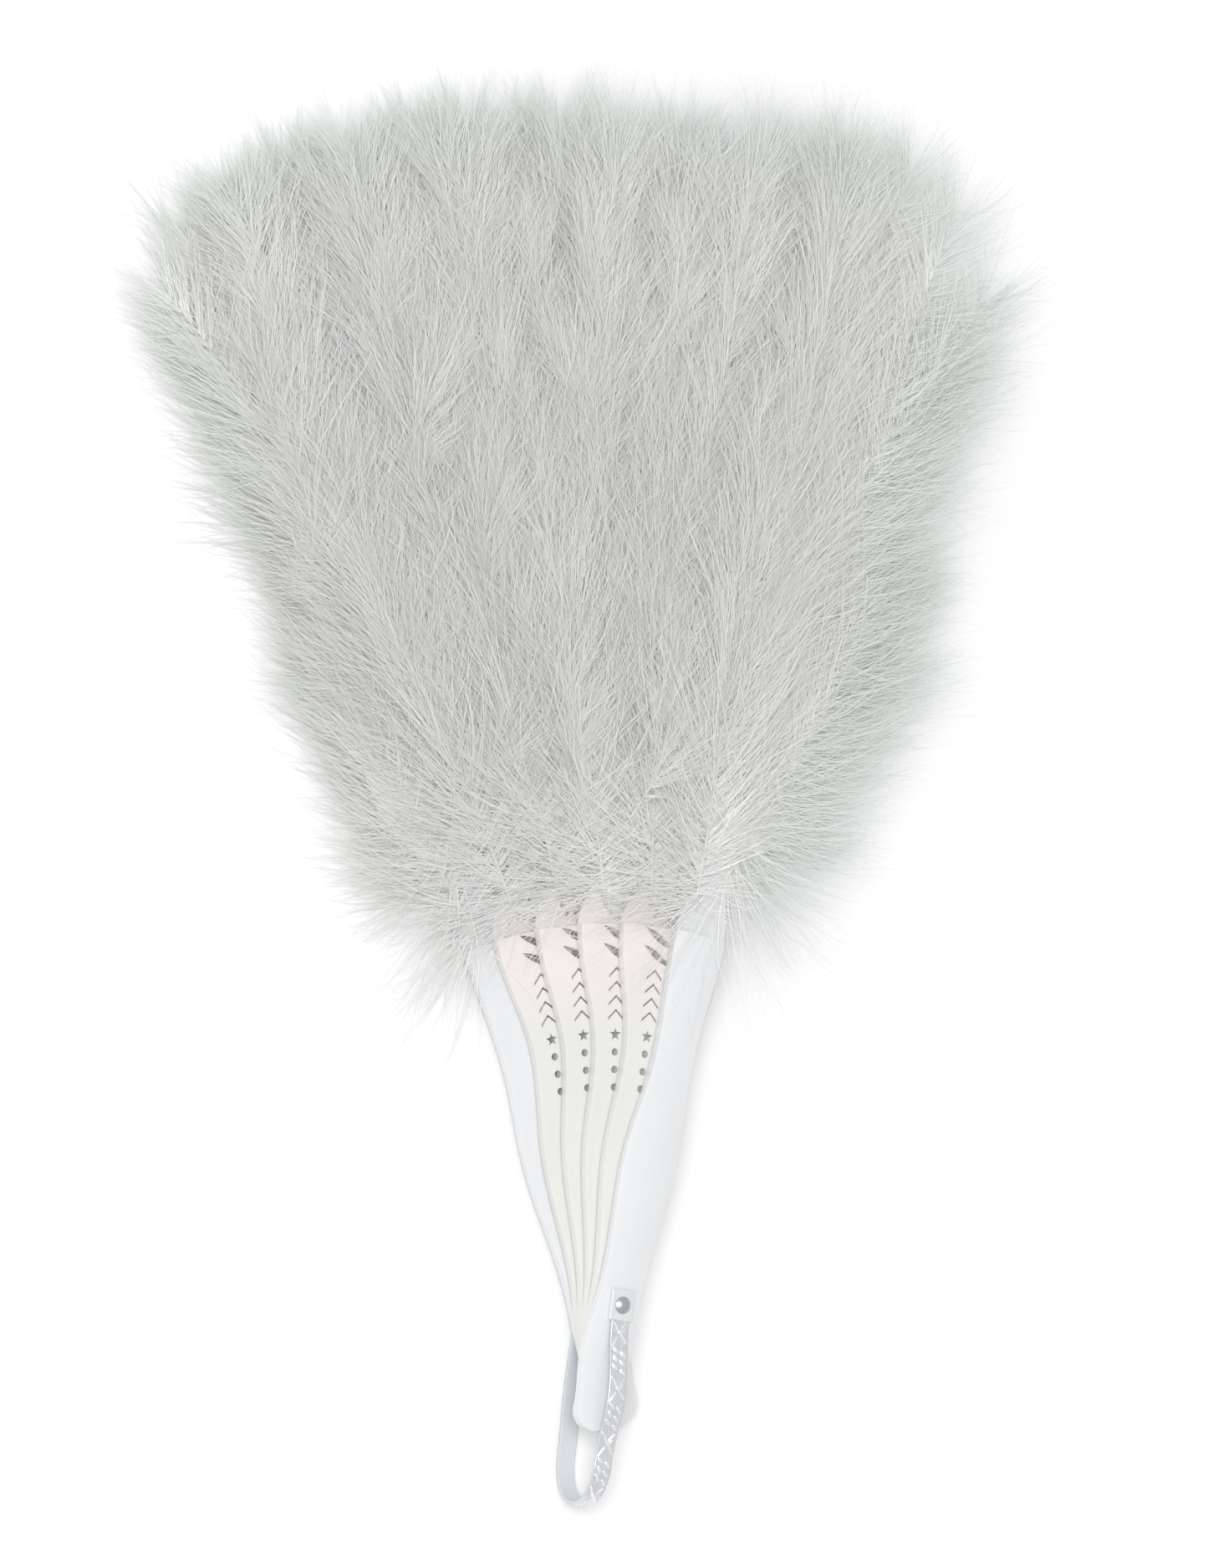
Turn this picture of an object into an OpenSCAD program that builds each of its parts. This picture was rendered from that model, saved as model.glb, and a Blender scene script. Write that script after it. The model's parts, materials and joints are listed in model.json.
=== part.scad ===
// Folding feather hand fan: moulded sticks that turn on one rivet, a marabou plume on each
// stick, and a wrist loop that swings on the same rivet.
// The fan lies flat and partly open. +Z is up, the rivet stands on the Z axis, the plumes
// point along +Y, and z = 0 is the surface that the fan rests on.

/* [Fan] */
// Sticks in all, the two guards included
stick_count = 6; // [4:1:9]
// Angle between neighbouring sticks as the fan lies
rest_step = 6.5; // [4:0.1:12]
// Gap between sticks that slide over each other
stick_gap = 0.25; // [0.15:0.05:0.5]

/* [Sticks] */
// Thickness of an inner stick
stick_t = 2.2; // [2:0.1:3]
// Thickness of each guard at its crown
guard_t = 2.7; // [2.4:0.1:4]
// Rivet to the round end of the tail
tail_len = 29; // [20:1:40]
// Width of the tail's round end
tail_w = 9.2; // [6:0.1:11]
// Width of the tail at its fullest
tail_belly_w = 12.4; // [10:0.1:13.6]
// Width at the rivet
pivot_w = 10.4; // [8:0.1:12]
// Rivet to the widest place of the grip
grip_y = 33; // [25:1:40]
// Width of the grip
grip_w = 13.6; // [10:0.1:18]
// Rivet to the waist
waist_y = 57; // [50:1:62]
// Width of the waist
waist_w = 9.8; // [7:0.1:14]
// Rivet to the shoulder, where the feathers start
shoulder_y = 86; // [84:1:96]
// Width of an inner stick at the shoulder
shoulder_w = 19; // [14:0.5:24]
// Width of a guard at the shoulder
guard_shoulder_w = 13; // [12:0.5:22]
// Length over which the shoulder narrows to the blade
neck_len = 17; // [12:1:24]
// Width of the blade under the feathers
blade_w = 5; // [4:0.5:8]
// Thickness of the blade
blade_t = 0.8; // [0.8:0.05:0.9]
// Rivet to the end of the blade
blade_end = 205; // [170:5:240]
// How far a guard's face falls from its crown to its edge
guard_crown = 0.9; // [0.4:0.1:1.2]

/* [Pierced pattern] */
// Rivet to the first dot
dots_y = 49; // [46:0.5:52]
// Distance between dots
dot_pitch = 4; // [3:0.5:5]
// Diameter of a dot
dot_d = 1.7; // [1:0.1:2]
// Diameter of the star
star_d = 3; // [2:0.1:4]
// Distance between chevrons
chevron_pitch = 3.2; // [2.5:0.1:4]
// Width of a chevron
chevron_w = 4; // [2:0.1:4.8]
// Length of a leaf slot
leaf_len = 8.4; // [4:0.1:10]
// Width of a leaf slot
leaf_w = 1.7; // [0.8:0.1:2]

/* [Rivet] */
// Diameter of the rivet's shank
rivet_d = 2.4; // [2:0.1:3]
// Diameter of the domed front head
rivet_head_d = 3.9; // [3.6:0.1:5]
// Diameter of the flat back cap
rivet_cap_d = 4.6; // [4:0.1:6]
// Height of the head, and of the cap
rivet_head_t = 0.8; // [0.6:0.1:1.2]
// Difference between the shank's and the bores' diameters
rivet_play = 0.16; // [0.06:0.02:0.2]

/* [Wrist loop] */
// Rivet to the far end of the loop
loop_len = 46; // [42:1:70]
// Width of the strap
strap_w = 4.3; // [3:0.1:6]
// Thickness of the strap
strap_t = 0.8; // [0.5:0.1:1]
// How far the front leg bows away from the sticks
front_bow = 2.4; // [0:0.1:6]
// How far the back leg bows away from the sticks
back_bow = 0.8; // [0:0.1:0.9]
// Length of the loop's round end
loop_round = 9.6; // [6:0.1:14]
// Width of each end tab
tab_w = 5.4; // [4.5:0.1:7]
// Length of each end tab
tab_len = 7; // [5:0.5:10]
// Thickness of each end tab
tab_t = 1; // [0.8:0.1:1.4]
// Angle that the loop hangs to the left of the fan's middle line
loop_lean = 10.5; // [0:0.5:20]

/* [Plumes] */
// Rivet to a plume's lower edge
plume_start = 88; // [88:1:100]
// Rivet to a plume's upper edge
plume_end = 268; // [240:2:300]
// Width of a plume at its lower edge
plume_low_w = 82; // [60:2:100]
// Width of a plume at its upper edge
plume_top_w = 110; // [80:2:130]
// Height of the front guard's plume at its middle
front_plume_t = 4.4; // [3:0.2:8]
// Height of the front guard's plume at its edge
front_edge_t = 2.4; // [1.5:0.1:3]
// Diameter of a feather's quill at its root
quill_d = 0.8; // [0.6:0.05:0.8]
// Diameter of a quill at its tip
quill_tip_d = 0.4; // [0.3:0.05:0.6]
// Length of a quill
quill_len = 112; // [80:2:124]

/* [Linking ribbon] */
// Rivet to the ribbon's middle
ribbon_y = 150; // [120:5:190]
// Width of the ribbon
ribbon_w = 10; // [6:1:16]
// Thickness of the ribbon
ribbon_t = 0.3; // [0.2:0.05:0.3]

/* [Hidden] */
$fn = 72;
cut = 1;                       // how far a cutting body runs past the face that it cuts
outline_step = 1.5;            // length of one step along a stick's outline
seat_gap = 0.1;                // gap between the rivet's heads and the tabs
tab_gap = 0.2;                 // gap between the tabs and the guards
tail_belly_y = -11;            // where the tail is fullest
pivot_y = 6;                   // where a stick is slimmest near the rivet
plume_gap = 0.1;               // gap between a plume and the stick above it
plume_squareness = 5;          // exponent of a plume's outline: 2 is an oval
plume_steps = 56;              // corners of a plume's outline
quill_gap = 0.6;               // gap from the blade to the first quill, and between quills
quill_rows = 2;                // quills on each side of a blade
quill_splay = 3.2;             // angle between neighbouring quills
quill_stagger = 10;            // how much higher the outer quills start
ribbon_hold = 3;               // how far the ribbon laps the blade that it is glued to
chevrons = 4;
dots = 3;
leaves = 2;
leaf_pitch = 4.1;
leaf_slant = -30;              // turn of a leaf slot from across the stick
rosette_holes = 6;
rosette_r = 2.3;
rosette_hole_d = 1.1;
chevron_stroke = 0.6;
star_points = 5;
star_depth = 0.45;             // inner radius of the star over its outer one

last = stick_count - 1;
fan_angle = last * rest_step;
bore_d = rivet_d + rivet_play;
tab_back_z = rivet_head_t + seat_gap;
guard_z = tab_back_z + tab_t + tab_gap;
front_z = stick_z(last);
tab_front_z = front_z + guard_t + tab_gap;
head_z = tab_front_z + tab_t + seat_gap;
pin_seat = rivet_head_t * 0.4; // floor of the cap under the shank
plume_z = blade_t + ribbon_t;  // a plume's underside over its stick's underside
neck_y = shoulder_y + neck_len;
quill_y = neck_y + 4;
stars_y = dots_y + dots * dot_pitch;
chevrons_y = stars_y + 4.8;
leaves_y = chevrons_y + chevrons * chevron_pitch + 0.9;
rosette_y = leaves_y + leaves * leaf_pitch + 3;
front_z_mid = tab_front_z + tab_t / 2;
back_z_mid = tab_back_z + tab_t / 2;

// Underside of stick i above the surface; stick 0 is the back guard
function stick_z(i) =
    i == 0 ? guard_z : guard_z + guard_t + stick_gap + (i - 1) * (stick_t + stick_gap);

// A value that eases from a to b as s goes from 0 to 1
function ease(a, b, s) = a + (b - a) * (1 - cos(180 * s)) / 2;

// Places along a stick where its width turns, as [distance from the rivet, half the width]
function stations(shoulder) = [
    [-tail_len + tail_w / 2, tail_w / 2],
    [tail_belly_y, tail_belly_w / 2],
    [pivot_y, pivot_w / 2],
    [grip_y, grip_w / 2],
    [waist_y, waist_w / 2],
    [shoulder_y, shoulder / 2],
    [neck_y, blade_w / 2]
];

// Half the width of a stick at distance y from the rivet
function half_w(y, st, k = 0) =
    k < len(st) - 2 && y > st[k + 1][0]
        ? half_w(y, st, k + 1)
        : ease(st[k][1], st[k + 1][1], (y - st[k][0]) / (st[k + 1][0] - st[k][0]));

// Outline of a stick between two distances from the rivet
module stick_outline(from_y, to_y, shoulder) {
    st = stations(shoulder);
    steps = ceil((to_y - from_y) / outline_step);
    ys = [for (k = [0:steps]) from_y + (to_y - from_y) * k / steps];
    polygon(concat(
        [for (y = ys) [half_w(y, st), y]],
        [for (k = [steps:-1:0]) [-half_w(ys[k], st), ys[k]]]
    ));
}

// The part of a stick that shows: tail, grip, waist and shoulder, t thick
module grip(t, shoulder) {
    tail_y = -tail_len + tail_w / 2;
    linear_extrude(t) {
        stick_outline(tail_y, shoulder_y, shoulder);
        translate([0, tail_y]) circle(d = tail_w);
    }
}

// The thin part of a stick that the feathers are glued to
module blade(t, shoulder) {
    linear_extrude(t) stick_outline(shoulder_y, neck_y, shoulder);
    translate([-blade_w / 2, neck_y, 0]) cube([blade_w, blade_end - neck_y - blade_w / 2, t]);
    translate([0, blade_end - blade_w / 2, 0]) cylinder(d = blade_w, h = t);
}

module star(d) {
    polygon([for (k = [0:2 * star_points - 1])
        let (r = d / 2 * (k % 2 == 0 ? 1 : star_depth), a = 90 + 180 * k / star_points)
        [r * cos(a), r * sin(a)]]);
}

module chevron(w) {
    half = w / 2;
    polygon([
        [-half, -half / 2], [0, half / 2], [half, -half / 2],
        [half, -half / 2 - chevron_stroke], [0, half / 2 - chevron_stroke],
        [-half, -half / 2 - chevron_stroke]
    ]);
}

// A slot between two arcs, pointed at both ends
module leaf(length, w) {
    r = (length * length + w * w) / (4 * w);
    intersection() {
        translate([0, r - w / 2]) circle(r);
        translate([0, w / 2 - r]) circle(r);
    }
}

// The holes down the middle of an inner stick
module pierced_pattern() {
    for (k = [0:dots - 1]) translate([0, dots_y + k * dot_pitch]) circle(d = dot_d);
    translate([0, stars_y]) star(star_d);
    for (k = [0:chevrons - 1]) translate([0, chevrons_y + k * chevron_pitch]) chevron(chevron_w);
    for (k = [0:leaves - 1])
        translate([0, leaves_y + k * leaf_pitch]) rotate(leaf_slant) leaf(leaf_len, leaf_w);
    translate([0, rosette_y]) for (k = [0:rosette_holes - 1])
        rotate(360 * k / rosette_holes) translate([rosette_r, 0]) circle(d = rosette_hole_d);
}

module rivet_bore(t) {
    translate([0, 0, -cut]) cylinder(d = bore_d, h = t + 2 * cut);
}

// Puts stick i's own pieces in its layer and at its angle
module on_stick(i) {
    rotate([0, 0, fan_angle / 2 - i * rest_step]) translate([0, 0, stick_z(i)]) children();
}

module inner_stick(i) {
    color("#ecebe6") on_stick(i) difference() {
        union() {
            grip(stick_t, shoulder_w);
            blade(blade_t, shoulder_w);
        }
        rivet_bore(stick_t);
        translate([0, 0, -cut]) linear_extrude(stick_t + 2 * cut) pierced_pattern();
    }
}

// A guard whose crowned face is up, with its blade blade_z above its flat face
module guard(blade_z, blade_thick) {
    half = grip_w / 2;
    crown_r = (half * half + guard_crown * guard_crown) / (2 * guard_crown);
    difference() {
        union() {
            intersection() {
                grip(guard_t, guard_shoulder_w);
                translate([0, -tail_len - cut, guard_t - crown_r]) rotate([-90, 0, 0])
                    cylinder(r = crown_r, h = tail_len + shoulder_y + 2 * cut, $fn = 180);
            }
            translate([0, 0, blade_z]) blade(blade_thick, guard_shoulder_w);
        }
        rivet_bore(guard_t);
    }
}

module front_guard() {
    color("#eef0f3") on_stick(last) guard(0, plume_z);
}

// The same moulding turned over, so that its crown is underneath
module back_guard() {
    color("#eef0f3") on_stick(0) translate([0, 0, guard_t]) mirror([0, 0, 1])
        guard(guard_t - guard_crown - blade_t, blade_t);
}

// Signed power, which squares up an oval
function bulge(v) = sign(v) * pow(abs(v), 2 / plume_squareness);

// Outline of a plume about its stick's middle line
module plume_outline() {
    middle = (plume_start + plume_end) / 2;
    reach = (plume_end - plume_start) / 2;
    polygon([for (k = [0:plume_steps - 1])
        let (a = 360 * k / plume_steps, s = bulge(sin(a)),
             w = (plume_low_w + (plume_top_w - plume_low_w) * (s + 1) / 2) / 2)
        [w * bulge(cos(a)), middle + reach * s]]);
}

// The back guard's plume is a pad that the fan lies on
module back_guard_plume() {
    color("#d4d6d3") rotate([0, 0, fan_angle / 2])
        linear_extrude(guard_z + guard_crown) plume_outline();
}

module inner_plume(i) {
    color("#d4d6d3") on_stick(i) translate([0, 0, plume_z])
        linear_extrude(stick_t - plume_z - plume_gap) plume_outline();
}

// The front guard's plume is crowned across its width
module front_guard_plume() {
    half = plume_top_w / 2;
    fall = front_plume_t - front_edge_t;
    crown_r = (half * half + fall * fall) / (2 * fall);
    color("#dadcd9") on_stick(last) translate([0, 0, plume_z]) intersection() {
        linear_extrude(front_plume_t + cut) plume_outline();
        translate([0, plume_start - cut, front_plume_t - crown_r]) rotate([-90, 0, 0])
            cylinder(r = crown_r, h = plume_end - plume_start + 2 * cut, $fn = 256);
    }
}

// The quills that lie along both sides of a blade
module quills() {
    for (side = [-1, 1], k = [0:quill_rows - 1])
        translate([side * (blade_w / 2 + quill_gap + quill_d / 2 + k * (quill_gap + quill_d)),
                   quill_y + k * quill_stagger, quill_d / 2])
            rotate([0, 0, -side * quill_splay * (k + 1)]) rotate([-90, 0, 0])
                cylinder(d1 = quill_d, d2 = quill_tip_d, h = quill_len);
}

module stick_quills(i) {
    rise = i == 0 ? guard_crown : 0;
    color("#f1efe4") on_stick(i) translate([0, 0, rise]) quills();
}

// The stretch of ribbon from stick i - 1 to stick i, glued on top of stick i - 1's blade and quills
module ribbon(i) {
    top = i == 1 ? guard_crown + blade_t : blade_t;
    span = ribbon_y * sin(rest_step);
    color("#e8e6e0") on_stick(i - 1)
        translate([-ribbon_hold, ribbon_y - ribbon_w / 2, top])
            cube([ribbon_hold + span, ribbon_w, ribbon_t]);
}

// Shank and domed front head in one
module rivet_pin() {
    head_r = rivet_head_d / 2;
    dome_r = (head_r * head_r + rivet_head_t * rivet_head_t) / (2 * rivet_head_t);
    color("#9a9da1") {
        translate([0, 0, pin_seat]) cylinder(d = rivet_d, h = head_z - pin_seat);
        intersection() {
            translate([0, 0, head_z]) cylinder(d = rivet_head_d, h = rivet_head_t);
            translate([0, 0, head_z + rivet_head_t - dome_r]) sphere(dome_r);
        }
    }
}

// Flat cap that closes the rivet at the back
module rivet_cap() {
    color("#9a9da1") difference() {
        cylinder(d = rivet_cap_d, h = rivet_head_t);
        translate([0, 0, pin_seat]) cylinder(d = rivet_d, h = rivet_head_t);
    }
}

// A bow that starts and ends along the leg
function bow(height, s) = height * (1 - cos(360 * s)) / 2;

// Middle line of the strap in the Y-Z plane, from the front tab round to the back tab
function strap_path() =
    let (leg_end = -(loop_len - strap_t / 2 - loop_round), leg_start = -tab_len / 2,
         mid = (front_z_mid + back_z_mid) / 2, rise = (front_z_mid - back_z_mid) / 2,
         leg_steps = 14, round_steps = 24)
    concat(
        [for (k = [0:leg_steps - 1]) let (s = k / leg_steps)
            [leg_start + (leg_end - leg_start) * s, front_z_mid + bow(front_bow, s)]],
        [for (k = [0:round_steps]) let (a = 180 * k / round_steps)
            [leg_end - loop_round * sin(a), mid + rise * cos(a)]],
        [for (k = [leg_steps - 1:-1:0]) let (s = k / leg_steps)
            [leg_start + (leg_end - leg_start) * s, back_z_mid - bow(back_bow, s)]]
    );

// Unit normal of a path at point k
function path_normal(p, k) =
    let (a = p[max(k - 1, 0)], b = p[min(k + 1, len(p) - 1)], d = (b - a) / norm(b - a))
    [-d[1], d[0]];

module on_loop() {
    rotate([0, 0, -loop_lean]) children();
}

module loop_strap() {
    p = strap_path();
    // the ends are square to the tabs that they meet
    n = [for (k = [0:len(p) - 1])
        k == 0 ? [0, -1] : k == len(p) - 1 ? [0, 1] : path_normal(p, k)];
    color("#d9dcdf") on_loop() translate([-strap_w / 2, 0, 0]) rotate([90, 0, 90])
        linear_extrude(strap_w) polygon(concat(
            [for (k = [0:len(p) - 1]) p[k] + n[k] * strap_t / 2],
            [for (k = [len(p) - 1:-1:0]) p[k] - n[k] * strap_t / 2]
        ));
}

module loop_tab(z) {
    color("#d3d6da") on_loop() translate([0, 0, z]) difference() {
        translate([-tab_w / 2, -tab_len / 2, 0]) cube([tab_w, tab_len, tab_t]);
        rivet_bore(tab_t);
    }
}

module loop_tab_front() { loop_tab(tab_front_z); }
module loop_tab_back() { loop_tab(tab_back_z); }

back_guard();
for (i = [1:last - 1]) inner_stick(i);
front_guard();
back_guard_plume();
for (i = [1:last - 1]) inner_plume(i);
front_guard_plume();
stick_quills(0);  // back_guard_quills
for (i = [1:last - 1]) stick_quills(i);
stick_quills(last);  // front_guard_quills
for (i = [1:last]) ribbon(i);
rivet_pin();
rivet_cap();
loop_strap();
loop_tab_front();
loop_tab_back();
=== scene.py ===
import json
import math

import bpy
import numpy as np
from bpy.props import FloatProperty, FloatVectorProperty, IntProperty, PointerProperty
from bpy.types import Operator, Panel, PropertyGroup
from mathutils import Euler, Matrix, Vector


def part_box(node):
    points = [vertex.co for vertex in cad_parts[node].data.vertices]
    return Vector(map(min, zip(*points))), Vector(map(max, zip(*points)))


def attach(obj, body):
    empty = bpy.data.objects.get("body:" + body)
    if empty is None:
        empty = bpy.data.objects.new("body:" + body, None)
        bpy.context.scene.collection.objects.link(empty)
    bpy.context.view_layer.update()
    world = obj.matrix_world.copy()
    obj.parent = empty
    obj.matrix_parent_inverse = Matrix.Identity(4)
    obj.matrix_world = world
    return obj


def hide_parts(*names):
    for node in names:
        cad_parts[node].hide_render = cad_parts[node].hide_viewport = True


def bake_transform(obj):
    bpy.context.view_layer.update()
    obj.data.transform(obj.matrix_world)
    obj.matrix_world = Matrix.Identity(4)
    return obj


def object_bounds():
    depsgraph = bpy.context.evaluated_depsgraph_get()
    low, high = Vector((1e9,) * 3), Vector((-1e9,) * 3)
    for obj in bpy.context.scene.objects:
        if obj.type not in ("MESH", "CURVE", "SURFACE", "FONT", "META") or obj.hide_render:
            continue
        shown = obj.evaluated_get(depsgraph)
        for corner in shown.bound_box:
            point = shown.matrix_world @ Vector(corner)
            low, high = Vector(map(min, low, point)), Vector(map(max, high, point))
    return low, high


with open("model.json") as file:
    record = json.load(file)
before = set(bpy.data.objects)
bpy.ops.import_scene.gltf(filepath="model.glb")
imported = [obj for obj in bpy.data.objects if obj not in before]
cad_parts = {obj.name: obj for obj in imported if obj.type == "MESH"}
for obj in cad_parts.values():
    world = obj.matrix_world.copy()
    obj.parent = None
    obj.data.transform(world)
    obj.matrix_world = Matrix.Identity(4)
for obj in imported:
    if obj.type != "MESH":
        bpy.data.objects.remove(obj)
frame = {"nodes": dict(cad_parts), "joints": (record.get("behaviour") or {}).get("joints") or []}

CAD_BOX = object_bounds()

bl_info = {
    "name": "Folding feather fan",
    "version": (1, 0, 0),
    "blender": (4, 5, 0),
    "location": "View3D > Sidebar > Fan",
    "description": "Dresses the frame of a folding fan in marabou down, moulded plastic and silvered band",
    "category": "Object",
}

BACK_GUARD = "back_guard"
STICKS = [BACK_GUARD] + [j["child"] for j in frame["joints"] if j["name"].startswith("open_")]
FRONT_GUARD = STICKS[-1]
LOOP_BODY = "wrist_loop"
MM = 0.001

# the feathers stay between these heights
DOWN_LOW = CAD_BOX[0][2] + 0.4 * MM
DOWN_HIGH = CAD_BOX[1][2] + 9 * MM

RIBBON_REACH = 150 * MM
RIBBON_WIDTH = 10 * MM
RIBBON_THICK = 0.2 * MM

STRAP_WIDTH = 4.3 * MM
STRAP_THICK = 0.8 * MM
STRAP_START = -3.5 * MM
STRAP_REACH = -46 * MM


# ---------------------------------------------------------------- sizes and colours

class DownSettings(PropertyGroup):
    """The marabou feathers that every stick carries"""

    tufts: IntProperty(
        name="Tufts", description="Short feathers that stand out of a stick's front",
        default=8, min=0, max=20)
    barbs: IntProperty(
        name="Barbs", description="Barbs on each side of a long feather's quill",
        default=940, min=20, max=2000)
    barb_length: FloatProperty(
        name="Barb length", description="Longest barbs, halfway up a feather",
        default=0.034, unit="LENGTH")
    barb_width: FloatProperty(
        name="Barb width", description="Width of a barb near its root",
        default=0.00014, unit="LENGTH")
    quill_length: FloatProperty(
        name="Quill length", description="Length of a long feather's quill",
        default=0.112, unit="LENGTH")
    lock: IntProperty(
        name="Lock", description="Barbs that cling together in one lock",
        default=8, min=1, max=60)
    cling: FloatProperty(
        name="Cling", description="How far the barbs of a lock may draw together",
        default=0.12, min=0.0, max=1.0, subtype="FACTOR")
    # The root colour is paler than the tip: painted light that lifts the shade deep in the down.
    root_color: FloatVectorProperty(
        name="Root", description="Colour of a barb at its root", subtype="COLOR",
        default=(0.975, 0.975, 0.965))
    tip_color: FloatVectorProperty(
        name="Tip", description="Colour of a barb at its tip", subtype="COLOR",
        default=(0.805, 0.806, 0.797))
    edge_color: FloatVectorProperty(
        name="Edge", description="Grey-green of the barbs along the fan's edges", subtype="COLOR",
        default=(0.70, 0.755, 0.72))


class StickSettings(PropertyGroup):
    """The moulded sticks and guards"""

    stick_color: FloatVectorProperty(
        name="Stick", description="Warm white of the inner sticks", subtype="COLOR",
        default=(0.745, 0.74, 0.725))
    guard_color: FloatVectorProperty(
        name="Guard", description="Cool white of the two guards", subtype="COLOR",
        default=(0.745, 0.755, 0.77))
    blush_color: FloatVectorProperty(
        name="Blush", description="Pink tint near the shoulder", subtype="COLOR",
        default=(0.825, 0.76, 0.75))
    cream_color: FloatVectorProperty(
        name="Cream", description="Green-yellow tint of the grip", subtype="COLOR",
        default=(0.738, 0.745, 0.71))
    roughness: FloatProperty(
        name="Roughness", description="Roughness of the moulded surface",
        default=0.38, min=0.0, max=1.0, subtype="FACTOR")


class LoopSettings(PropertyGroup):
    """The silvered wrist loop"""

    front_bow: FloatProperty(
        name="Front bow", description="How far the front leg bows away from the sticks",
        default=0.0024, unit="LENGTH")
    back_bow: FloatProperty(
        name="Back bow", description="How far the back leg bows away from the sticks",
        default=0.0008, unit="LENGTH")
    round_length: FloatProperty(
        name="Round end", description="Length of the loop's round end",
        default=0.0096, unit="LENGTH")
    relief: FloatProperty(
        name="Relief", description="Height of the embossed ornament",
        default=0.00030, unit="LENGTH")
    repeat: FloatProperty(
        name="Repeat", description="Length of one repeat of the ornament",
        default=0.0127, unit="LENGTH")
    silver_color: FloatVectorProperty(
        name="Silver", description="Colour of the metallised face", subtype="COLOR",
        default=(0.96, 0.965, 0.975))
    # painted shade: the metallised face between the ornament is given a darker colour
    hollow_shade_color: FloatVectorProperty(
        name="Hollow", description="Colour of the metallised face between the ornament", subtype="COLOR",
        default=(0.78, 0.80, 0.83))
    lining_color: FloatVectorProperty(
        name="Lining", description="Colour of the plain inner face", subtype="COLOR",
        default=(0.66, 0.69, 0.72))


class StageSettings(PropertyGroup):
    """Camera and light"""

    view_tilt: FloatProperty(
        name="View tilt", description="How far to the left of straight above the camera stands",
        default=math.radians(30.0), subtype="ANGLE")
    view_roll: FloatProperty(
        name="View roll", description="Turn of the camera about its own line of sight",
        default=math.radians(-1.3), subtype="ANGLE")
    distance: FloatProperty(
        name="Distance", description="Camera to the middle of the fan",
        default=1.5, unit="LENGTH")
    view_height: FloatProperty(
        name="View height", description="Height of the picture at the fan",
        default=0.356, unit="LENGTH")
    sky: FloatProperty(
        name="Sky", description="Strength of the even light all round", default=0.65)
    key: FloatProperty(
        name="Key", description="Power of the large soft lamp behind the camera", default=23.0)


class FanSettings(PropertyGroup):
    """Everything that can be changed on the fan"""

    down: PointerProperty(type=DownSettings)
    sticks: PointerProperty(type=StickSettings)
    loop: PointerProperty(type=LoopSettings)
    stage: PointerProperty(type=StageSettings)


def settings():
    return bpy.context.scene.feather_fan


# ---------------------------------------------------------------- where the sticks lie

def stick_place(name):
    """A stick's turn about the rivet, and the layer and reach of its feathers."""
    corners = np.array([v.co for v in frame["nodes"][name].data.vertices])
    tip = corners[np.hypot(corners[:, 0], corners[:, 1]).argmax()]
    turn = math.atan2(-tip[0], tip[1])
    plume = np.array([v.co for v in frame["nodes"][name + "_plume"].data.vertices])
    along = -plume[:, 0] * math.sin(turn) + plume[:, 1] * math.cos(turn)
    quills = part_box(name + "_quills")
    return {
        "name": name,
        "order": STICKS.index(name),
        "turn": turn,
        "bed_low": quills[0].z,
        "bed_high": quills[1].z,
        "start": along.min(),
        "end": along.max(),
    }


def to_row(points, turn):
    """Points from a stick's own frame, with +Y up the stick, to the row frame."""
    c, s = math.cos(turn), math.sin(turn)
    out = points.copy()
    out[..., 0] = c * points[..., 0] - s * points[..., 1]
    out[..., 1] = s * points[..., 0] + c * points[..., 1]
    return out


# ---------------------------------------------------------------- mesh helpers

def unit(v):
    return v / np.maximum(np.linalg.norm(v, axis=-1, keepdims=True), 1e-12)


def mesh_object(name, points, faces, uv=None, smooth=True):
    """A mesh from arrays; uv holds a pair for every vertex."""
    mesh = bpy.data.meshes.new(name)
    faces = np.asarray(faces, np.int32)
    corners = faces.shape[1]
    mesh.vertices.add(len(points))
    mesh.vertices.foreach_set("co", np.asarray(points, np.float32).ravel())
    mesh.loops.add(faces.size)
    mesh.loops.foreach_set("vertex_index", faces.ravel())
    mesh.polygons.add(len(faces))
    mesh.polygons.foreach_set("loop_start", np.arange(len(faces), dtype=np.int32) * corners)
    mesh.update(calc_edges=True)
    mesh.polygons.foreach_set("use_smooth", np.full(len(faces), smooth))
    if uv is not None:
        layer = mesh.uv_layers.new(name="OFBake")
        layer.data.foreach_set("uv", np.asarray(uv, np.float32)[faces.ravel()].ravel())
    mesh.validate()
    piece = bpy.data.objects.new(name, mesh)
    bpy.context.scene.collection.objects.link(piece)
    return piece


def ring_quads(rows, around):
    """Quads between rows of closed rings that hold the same number of points."""
    k = np.arange(rows - 1)[:, None] * around
    j = np.arange(around)[None]
    n = (j + 1) % around
    return np.stack([x.ravel() for x in (k + j, k + n, k + around + n, k + around + j)], 1)


def band_caps(rows, columns):
    """Quads that close both ends of a flat band with columns points on each face of a ring."""
    around = 2 * columns
    caps = []
    for start, flip in ((0, True), ((rows - 1) * around, False)):
        for c in range(columns - 1):
            quad = [start + c, start + c + 1, start + around - 2 - c, start + around - 1 - c]
            caps.append(quad[::-1] if flip else quad)
    return np.array(caps)


# ---------------------------------------------------------------- feathers

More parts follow.
